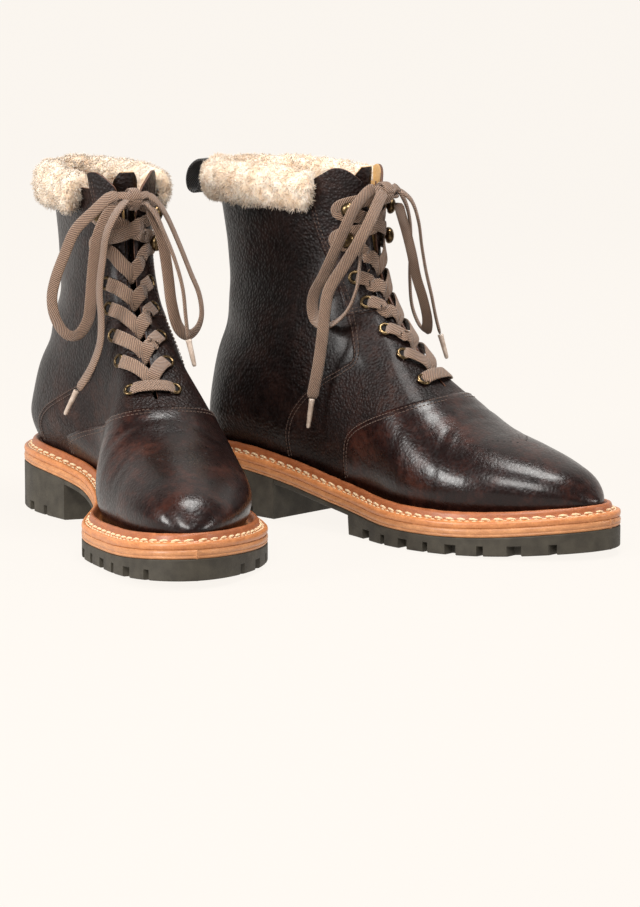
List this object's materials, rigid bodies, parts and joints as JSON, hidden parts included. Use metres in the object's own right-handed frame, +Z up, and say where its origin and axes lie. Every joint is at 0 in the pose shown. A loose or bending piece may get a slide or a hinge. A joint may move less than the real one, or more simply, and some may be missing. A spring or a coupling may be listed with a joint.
{
  "type": "insulated hunting boots",
  "caption": "Pair of lace-up leather hunting boots with a shearling lining, turned-down cuff, stitched welt and lugged rubber sole.",
  "frame": {"origin": "on the floor under the middle of the pair's bounding box", "axes": "+Z up, -Y towards the toes, the left boot at -X and the right boot at +X; each boot is turned about 14 degrees, toes apart at the front"},
  "size_m": [0.295, 0.3768, 0.2205],
  "materials": {
    "leather": "polished grained leather, dark brown",
    "raw_leather": "waxed tan veg-tanned leather",
    "rubber": "matt dark olive rubber",
    "shearling": "cream sheepskin pile",
    "lace": "flat woven waxed cotton",
    "brass": "antique brass",
    "board": "leatherboard",
    "steel": "plain steel",
    "webbing": "black woven tape",
    "aglet": "pale brown plastic"
  },
  "bodies": {
    "left_tongue": {"left_tongue": "leather"},
    "left_pull_tab": {"left_pull_tab": "webbing"},
    "left_boot": {"left_aglet_lateral": "aglet", "left_aglet_medial": "aglet", "left_back_quarter": "leather", "left_cuff": "shearling", "left_eyelets_lateral": "brass", "left_eyelets_medial": "brass", "left_facing_lateral": "leather", "left_facing_medial": "leather", "left_footbed": "shearling", "left_heel_block": "rubber", "left_heel_counter": "board", "left_insole": "board", "left_lace": "lace", "left_lace_end_lateral": "lace", "left_lace_end_medial": "lace", "left_lace_loop_lateral": "lace", "left_lace_loop_medial": "lace", "left_lining": "shearling", "left_midsole": "raw_leather", "left_outsole": "rubber", "left_quarter_lateral": "leather", "left_quarter_medial": "leather", "left_shank": "steel", "left_studs_lateral": "brass", "left_studs_medial": "brass", "left_toe_puff": "board", "left_vamp": "leather", "left_welt": "raw_leather"},
    "right_tongue": {"right_tongue": "leather"},
    "right_pull_tab": {"right_pull_tab": "webbing"},
    "right_boot": {"right_aglet_lateral": "aglet", "right_aglet_medial": "aglet", "right_back_quarter": "leather", "right_cuff": "shearling", "right_eyelets_lateral": "brass", "right_eyelets_medial": "brass", "right_facing_lateral": "leather", "right_facing_medial": "leather", "right_footbed": "shearling", "right_heel_block": "rubber", "right_heel_counter": "board", "right_insole": "board", "right_lace": "lace", "right_lace_end_lateral": "lace", "right_lace_end_medial": "lace", "right_lace_loop_lateral": "lace", "right_lace_loop_medial": "lace", "right_lining": "shearling", "right_midsole": "raw_leather", "right_outsole": "rubber", "right_quarter_lateral": "leather", "right_quarter_medial": "leather", "right_shank": "steel", "right_studs_lateral": "brass", "right_studs_medial": "brass", "right_toe_puff": "board", "right_vamp": "leather", "right_welt": "raw_leather"}
  },
  "joints": [
    {"name": "left_tongue_fold", "type": "hinge", "parent": "left_boot", "child": "left_tongue", "pos_m": [-0.08756, -0.03301, 0.084], "axis": [-0.9694, 0.2453, 0], "range_deg": [0, 12], "stiffness_Nm_per_rad": 0.5, "springref_deg": -2.86},
    {"name": "left_pull_tab_lift", "type": "hinge", "parent": "left_boot", "child": "left_pull_tab", "pos_m": [-0.03973, 0.15603, 0.218], "axis": [0.9694, -0.2453, 0], "range_deg": [0, 85]},
    {"name": "right_tongue_fold", "type": "hinge", "parent": "right_boot", "child": "right_tongue", "pos_m": [0.08756, -0.08051, 0.084], "axis": [-0.9694, -0.2453, 0], "range_deg": [0, 12], "stiffness_Nm_per_rad": 0.5, "springref_deg": -2.86},
    {"name": "right_pull_tab_lift", "type": "hinge", "parent": "right_boot", "child": "right_pull_tab", "pos_m": [0.03973, 0.10853, 0.218], "axis": [0.9694, 0.2453, 0], "range_deg": [0, 85]},
    {"name": "right_boot_lift", "type": "slide", "parent": "left_boot", "child": "right_boot", "axis": [0, 0, 1], "range_m": [0, 0.25]}
  ]
}
